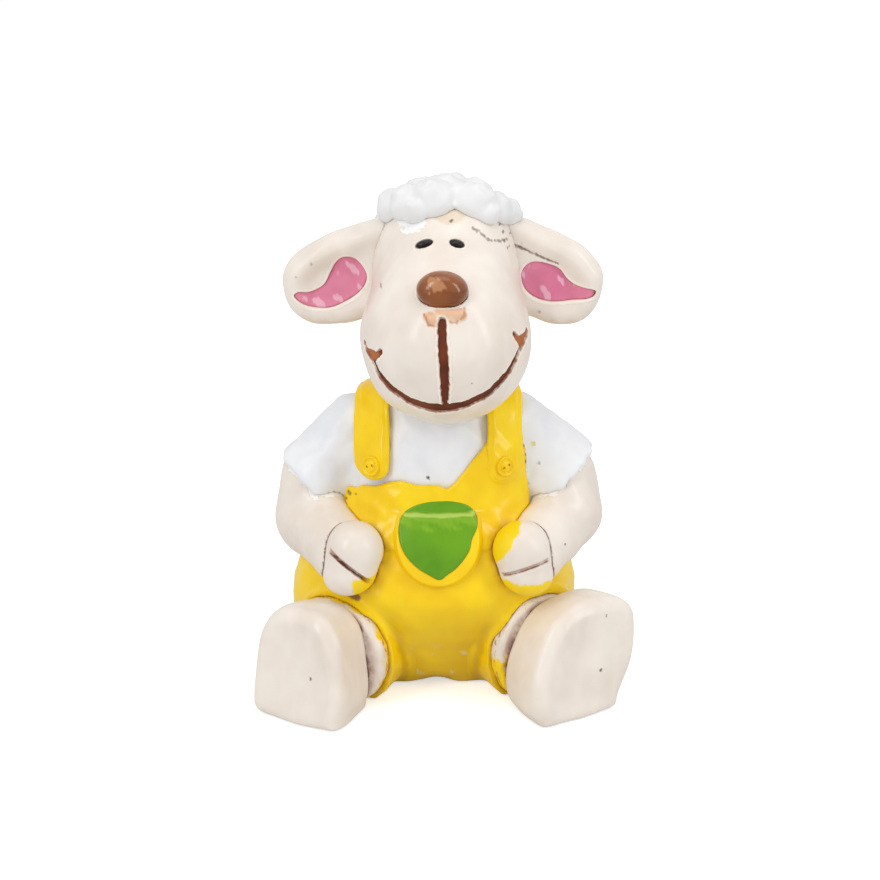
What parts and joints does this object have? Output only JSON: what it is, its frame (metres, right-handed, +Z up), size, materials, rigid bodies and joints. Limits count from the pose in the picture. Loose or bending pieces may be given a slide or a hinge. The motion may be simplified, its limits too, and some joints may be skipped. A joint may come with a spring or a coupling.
{
  "type": "sheep figurine",
  "caption": "Small painted resin ornament: a smiling sheep with a woolly crown that sits in yellow dungarees over a white shirt, hands on its lap, soles to the front.",
  "frame": {"origin": "on the ground under the middle of the figurine's bounding box", "axes": "+Z up, -Y the way the sheep faces, +X to the sheep's left"},
  "size_m": [0.0428, 0.032, 0.0615],
  "materials": {
    "cream_paint": "gloss",
    "white_paint": "satin",
    "yellow_paint": "gloss",
    "green_paint": "gloss",
    "pink_paint": "gloss",
    "nose_brown_paint": "gloss",
    "mouth_brown_paint": "satin",
    "eye_black_paint": "gloss"
  },
  "bodies": {
    "root": {"arm_left": "cream_paint", "arm_right": "cream_paint", "button_left": "yellow_paint", "button_right": "yellow_paint", "cuff_left": "cream_paint", "cuff_right": "cream_paint", "dungarees": "yellow_paint", "ear_left": "cream_paint", "ear_lining_left": "pink_paint", "ear_lining_right": "pink_paint", "ear_right": "cream_paint", "eye_left": "eye_black_paint", "eye_right": "eye_black_paint", "foot_left": "cream_paint", "foot_right": "cream_paint", "hand_left": "cream_paint", "hand_right": "cream_paint", "head": "cream_paint", "lip_line": "mouth_brown_paint", "neck": "cream_paint", "nose": "nose_brown_paint", "pocket_patch": "green_paint", "pocket_rim": "yellow_paint", "shirt": "white_paint", "smile_line": "mouth_brown_paint", "strap_left": "yellow_paint", "strap_right": "yellow_paint", "trouser_leg_left": "yellow_paint", "trouser_leg_right": "yellow_paint", "wool_cap": "white_paint"}
  },
  "joints": []
}
